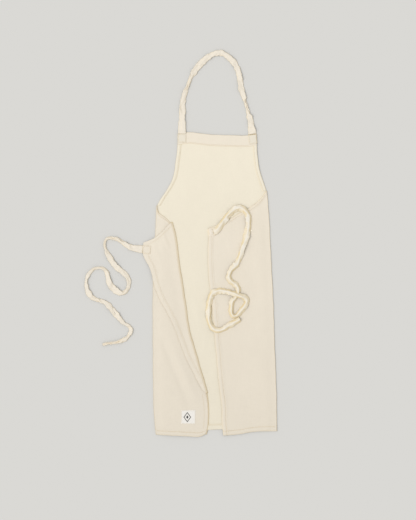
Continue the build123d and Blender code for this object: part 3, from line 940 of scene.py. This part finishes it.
def sewn_end(name, start, toward, length, surfaces, material, crumple=0.15, width=TAPE_WIDTH):
    """A tape's flat end, running back from where its free part starts and resting on the cloth."""
    ahead = np.array(toward, float) / np.hypot(*toward)
    side = np.array([ahead[1], -ahead[0]])
    back = shares(length, 1.6) * length
    across = shares(width, 1.8) * width - width / 2
    across, back = np.meshgrid(across, back)
    place = np.array(start, float) - back[..., None] * ahead + across[..., None] * side
    below = heights_below(surfaces, place)
    for _ in range(2):
        eased = (np.pad(below, 1, "edge")[2:, 1:-1] + np.pad(below, 1, "edge")[:-2, 1:-1]) / 2
        below = np.maximum(below, eased)
    bumps = crumple * ripple(place[..., 0], place[..., 1], 7, 31)
    edge = np.minimum(width / 2 - np.abs(across), length - back)
    top = raised(place, below + TAPE_THICKNESS * rounded(edge, 0.7) + bumps)
    return shell(name, top, raised(place, below - 0.1), material)


cloth_below = laid_surfaces(
    [front_cloth, right_panel_cloth, left_panel_cloth, corner_panel_cloth, bib_band, left_fold_cloth,
     corner_edge_hem, corner_top_hem]
)

neck_strap, neck_line = free_tape(
    "neck_strap_tape", NECK_ROUTE, 4.2, 0.9, cloth_below, tape_cloth, 1.5
)
left_tie, left_tie_line = free_tape(
    "left_tie_tape", LEFT_TIE_ROUTE, 4.2, 0.9, cloth_below, tape_cloth, 2.5
)
right_tie, right_tie_line = free_tape(
    "right_tie_tape", RIGHT_TIE_ROUTE, 7.5, 0, cloth_below, tie_cloth, 3.5
)
strap_end_left = sewn_end("strap_end_left_tape", *LEFT_STRAP_END, cloth_below, end_cloth)
strap_end_right = sewn_end("strap_end_right_tape", *RIGHT_STRAP_END, cloth_below, end_cloth)
left_tie_root = sewn_end("left_tie_root_tape", *LEFT_TIE_END, cloth_below, corner_cloth, width=24)
right_tie_root = sewn_end(
    "right_tie_root_tape", *RIGHT_TIE_END, cloth_below, tape_cloth, crumple=0.9, width=23
)


# ---------------------------------------------------------------- label and stitching


def patch(name, corners, surfaces, thickness, material):
    """A thin closed patch between four corners, lying on what is below."""
    corners = np.array(corners, float)
    wide = np.linalg.norm(corners[1] - corners[0])
    tall = np.linalg.norm(corners[3] - corners[0])
    u, v = np.meshgrid(shares(wide, 3), shares(tall, 3))
    place = (1 - v)[..., None] * ((1 - u)[..., None] * corners[0] + u[..., None] * corners[1])
    place = place + v[..., None] * ((1 - u)[..., None] * corners[3] + u[..., None] * corners[2])
    below = heights_below(surfaces, place)
    edge = np.minimum(np.minimum(u, 1 - u) * wide, np.minimum(v, 1 - v) * tall)
    top = raised(place, below + thickness * rounded(edge, 0.8))
    return shell(name, top, raised(place, below - 0.1), material)


def diamond_mark(name, center, sizes, surfaces, material):
    """Plain diamonds woven in dark thread, each from an outer size in to an inner one."""
    points, faces = [], []
    for outer, inner in sizes:
        first = len(points)
        corners = [(0, 1), (1, 0), (0, -1), (-1, 0)]
        for reach in (outer, inner):
            for a, b in corners:
                x, y = center[0] + 0.75 * reach * a, center[1] + reach * b
                z = resting_height(surfaces, x, y)
                points += [(x, y, z + 0.3), (x, y, z - 0.05)]
        for k in range(4):
            a, b = first + 2 * k, first + 2 * ((k + 1) % 4)
            faces.append((a + 8, b + 8, b, a))
            faces.append((a, b, b + 1, a + 1))
            faces.append((a + 9, b + 9, b + 8, a + 8))
            faces.append((a + 1, b + 1, b + 9, a + 9))
    return mesh_object(name, points, faces, material)


def stitch_row(places, surfaces):
    """Places of a row of stitches, on top of what lies there."""
    return [(x, y, resting_height(surfaces, x, y) + 0.05) for x, y in places]


def box_rows(start, toward, length, width, inset=2.6):
    """The four sides of a sewn end's box of stitches."""
    ahead = np.array(toward, float) / np.hypot(*toward)
    side = np.array([ahead[1], -ahead[0]])
    near = np.array(start, float) - ahead * inset
    far = np.array(start, float) - ahead * (length - inset)
    half = side * (width / 2 - inset)
    corners = [near - half, near + half, far + half, far - half]
    return [
        [a + (b - a) * t for t in np.linspace(0, 1, 9)]
        for a, b in zip(corners, corners[1:] + corners[:1])
    ]


def hem_row(panel, side, width, start, end):
    """A row along a panel's side, inside the inner edge of a hem of that width."""
    u, v = panel.inset(side, width - STITCH_INSET, np.linspace(start, end, 160))
    return panel.flat(u, v)


left_wing_top = laid_surfaces([left_panel_cloth])
label_patch = patch(
    "label_patch", [(-86, -375), (-43, -374), (-44, -417), (-87, -416)], left_wing_top, 0.6, label_cloth
)
label_top = laid_surfaces([left_panel_cloth, label_patch])
label_mark = diamond_mark("label_mark", (-68, -396), [(15, 12), (5, 0.2)], label_top, mark_thread)

front_top = laid_surfaces(
    [front_cloth, bib_band, left_bib_hem, right_bib_hem, front_hem, strap_end_left, strap_end_right]
)
front_rows = [
    hem_row(front, "top", BIB_BAND, 0.13, 0.89),
    hem_row(front, "left", ARMHOLE_HEM, band_share, left_waist_share),
    hem_row(front, "right", ARMHOLE_HEM, band_share, right_waist_share),
    hem_row(front, "bottom", BOTTOM_HEM, 0, 1),
    *box_rows(*LEFT_STRAP_END, TAPE_WIDTH),
    *box_rows(*RIGHT_STRAP_END, TAPE_WIDTH),
]
front_stitching = stitches(
    "front_stitching", [stitch_row(row, front_top) for row in front_rows], thread_and_painted_shade
)
right_top = laid_surfaces([right_panel_cloth, right_tie_root])
right_rows = [
    hem_row(right_side, "left", EDGE_HEM, 0.05, 1),
    hem_row(right_side, "top", ARMHOLE_HEM, 0.08, 0.98),
    hem_row(right_side, "bottom", BOTTOM_HEM, 0, 0.97),
    *box_rows((12, 160), (1, 0.2), 17, 21),
]
right_stitching = stitches(
    "right_stitching", [stitch_row(row, right_top) for row in right_rows], thread_and_painted_shade
)
corner_share = np.argmin(np.linalg.norm(left_side.right - CORNER_TIP, axis=1)) / JOINED_PLACES
left_rows = [
    hem_row(left_side, "top", ARMHOLE_HEM, 0.05, 0.95),
    hem_row(left_side, "bottom", BOTTOM_HEM, 0.02, 0.93),
    hem_row(left_side, "right", EDGE_HEM, corner_share, 0.97),
    *box_rows((-65, -375), (0, 1), 42, 43, inset=1.8),
]
left_stitching = stitches(
    "left_stitching", [stitch_row(row, label_top) for row in left_rows], thread_and_painted_shade
)
corner_surface = laid_surfaces([corner_panel_cloth, corner_top_hem, corner_edge_hem, left_tie_root])
corner_rows = [
    hem_row(corner, "top", ARMHOLE_HEM, 0.3, 0.97),
    hem_row(corner, "left", EDGE_HEM, 0.09, 0.9),
    *box_rows(*LEFT_TIE_END, 24),
]
corner_stitching = stitches(
    "corner_stitching", [stitch_row(row, corner_surface) for row in corner_rows], thread_and_painted_shade,
    radius=0.2,
)


# ---------------------------------------------------------------- what rides on what

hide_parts("front_panel")
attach(front_cloth, "front_body")

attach(right_panel_cloth, "right_wing")
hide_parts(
    "right_panel", "right_armhole_hem", "right_edge_hem", "right_bottom_hem"
)

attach(left_panel_cloth, "left_wing")
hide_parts("left_panel", "left_armhole_hem", "left_bottom_hem")

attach(corner_panel_cloth, "left_corner")
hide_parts("corner_panel")

for piece, node, below, above, low, high in (
    (left_fold_cloth, "left_fold_round", "front_body", "left_wing", FRONT_MID, SIDE_FOLD_TOP),
    (right_fold_cloth, "right_fold_round", "front_body", "right_wing", FRONT_MID, SIDE_FOLD_TOP),
    (
        corner_fold_cloth, "corner_fold_round", "left_wing", "left_corner",
        CORNER_FOLD_BOTTOM, CORNER_FOLD_TOP,
    ),
):
    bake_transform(piece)
    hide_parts(node)

for piece, body, slot, nodes in (
    (bib_band, "front_body", "turned_hem", ["bib_band"]),
    (left_bib_hem, "front_body", "turned_hem", ["left_bib_hem"]),
    (right_bib_hem, "front_body", "turned_hem", ["right_bib_hem"]),
    (front_hem, "front_body", "turned_hem", ["front_bottom_hem"]),
    (corner_top_hem, "left_corner", "turned_hem", ["corner_armhole_hem"]),
    (corner_edge_hem, "left_corner", "turned_hem", ["corner_edge_hem"]),
    (left_edge_roll, "left_wing", "turned_hem", ["left_edge_hem"]),
    (strap_end_left, "front_body", "tape", ["strap_end_left"]),
    (strap_end_right, "front_body", "tape", ["strap_end_right"]),
    (left_tie_root, "left_corner", "tape", ["left_tie_root"]),
    (right_tie_root, "right_wing", "tape", ["right_tie_root"]),
    (label_patch, "left_wing", "label", ["label"]),
    (label_mark, "left_wing", "label", []),
    (
        front_stitching, "front_body", "thread",
        ["bib_band_stitching", "strap_stitching_left", "strap_stitching_right"],
    ),
    (right_stitching, "right_wing", "thread", ["right_tie_stitching"]),
    (left_stitching, "left_wing", "thread", ["label_stitching"]),
    (corner_stitching, "left_corner", "thread", ["left_tie_stitching"]),
):
    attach(piece, body)
    if nodes:
        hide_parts(*nodes)

for piece, node, body, line, length, far_end in (
    (neck_strap, "neck_strap", "neck_loop", neck_line, 0.558, "object"),
    (left_tie, "left_tie", "left_corner", left_tie_line, 0.779, "bare"),
    (right_tie, "right_tie", "right_wing", right_tie_line, 0.838, "bare"),
):
    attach(piece, body)
    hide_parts(node)
